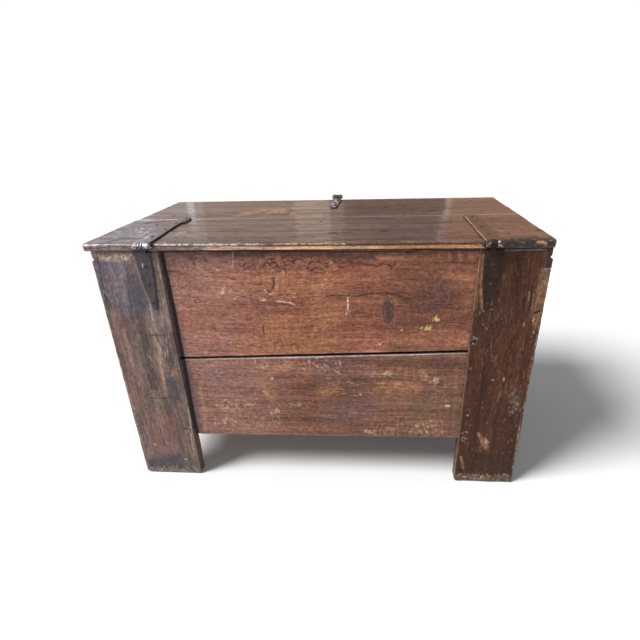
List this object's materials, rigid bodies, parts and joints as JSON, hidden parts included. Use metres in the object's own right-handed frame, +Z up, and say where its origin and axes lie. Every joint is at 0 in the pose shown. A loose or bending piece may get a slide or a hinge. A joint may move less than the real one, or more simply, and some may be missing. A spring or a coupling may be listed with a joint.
{
  "type": "wedding chest",
  "caption": "Oak plank chest on wide stile feet, with a two-plank lid on forged strap hinges, a swinging slotted hasp and its staple.",
  "frame": {"origin": "centre of the bounding box at the floor, under the four feet", "axes": "+X along the chest, +Y from the hinge side to the hasp side, +Z up"},
  "size_m": [1.22, 0.7236, 0.7973],
  "materials": {
    "oak_case": "old waxed oak, red-brown, worn and stained",
    "oak_lid": "old oak polished glossy with wax",
    "oak_inside": "dry unfinished oak",
    "oak_pegs": "dark cleft oak, end grain",
    "forged_iron": "blacksmith-forged, blackened, lightly rusted"
  },
  "bodies": {
    "case": {"rear_left_stile": "oak_case", "rear_right_stile": "oak_case", "front_left_stile": "oak_case", "front_right_stile": "oak_case", "rear_upper_board": "oak_case", "rear_lower_board": "oak_case", "front_upper_board": "oak_case", "front_lower_board": "oak_case", "left_end_lower_board": "oak_case", "left_end_upper_board": "oak_case", "left_end_top_rail": "oak_case", "left_end_bottom_rail": "oak_case", "right_end_lower_board": "oak_case", "right_end_upper_board": "oak_case", "right_end_top_rail": "oak_case", "right_end_bottom_rail": "oak_case", "floor_batten_left": "oak_inside", "floor_batten_middle": "oak_inside", "floor_batten_right": "oak_inside", "floor_board_rear": "oak_inside", "floor_board_middle": "oak_inside", "floor_board_front": "oak_inside", "rear_stile_pegs": "oak_pegs", "front_stile_pegs": "oak_pegs", "rail_pegs": "oak_pegs", "lower_strap_left": "forged_iron", "lower_strap_right": "forged_iron", "hinge_pin_left": "forged_iron", "hinge_pin_right": "forged_iron", "lower_strap_nails": "forged_iron", "staple": "forged_iron", "staple_plate": "forged_iron", "staple_plate_nails": "forged_iron"},
    "lid": {"lid_rear_plank": "oak_lid", "lid_front_plank": "oak_lid", "lid_batten_left": "oak_inside", "lid_batten_middle": "oak_inside", "lid_batten_right": "oak_inside", "lid_batten_nails": "forged_iron", "upper_strap_left": "forged_iron", "upper_strap_right": "forged_iron", "upper_strap_nails": "forged_iron", "hasp_strap": "forged_iron", "hasp_strap_nails": "forged_iron", "hasp_pin": "forged_iron"},
    "hasp": {"hasp": "forged_iron"}
  },
  "joints": [
    {"name": "lid_hinge", "type": "hinge", "parent": "case", "child": "lid", "pos_m": [0, -0.35175, 0.77505], "axis": [1, 0, 0], "range_deg": [0, 105]},
    {"name": "hasp_hinge", "type": "hinge", "parent": "lid", "child": "hasp", "pos_m": [0.022, 0.35285, 0.78835], "axis": [1, 0, 0], "range_deg": [-10, 265]}
  ]
}
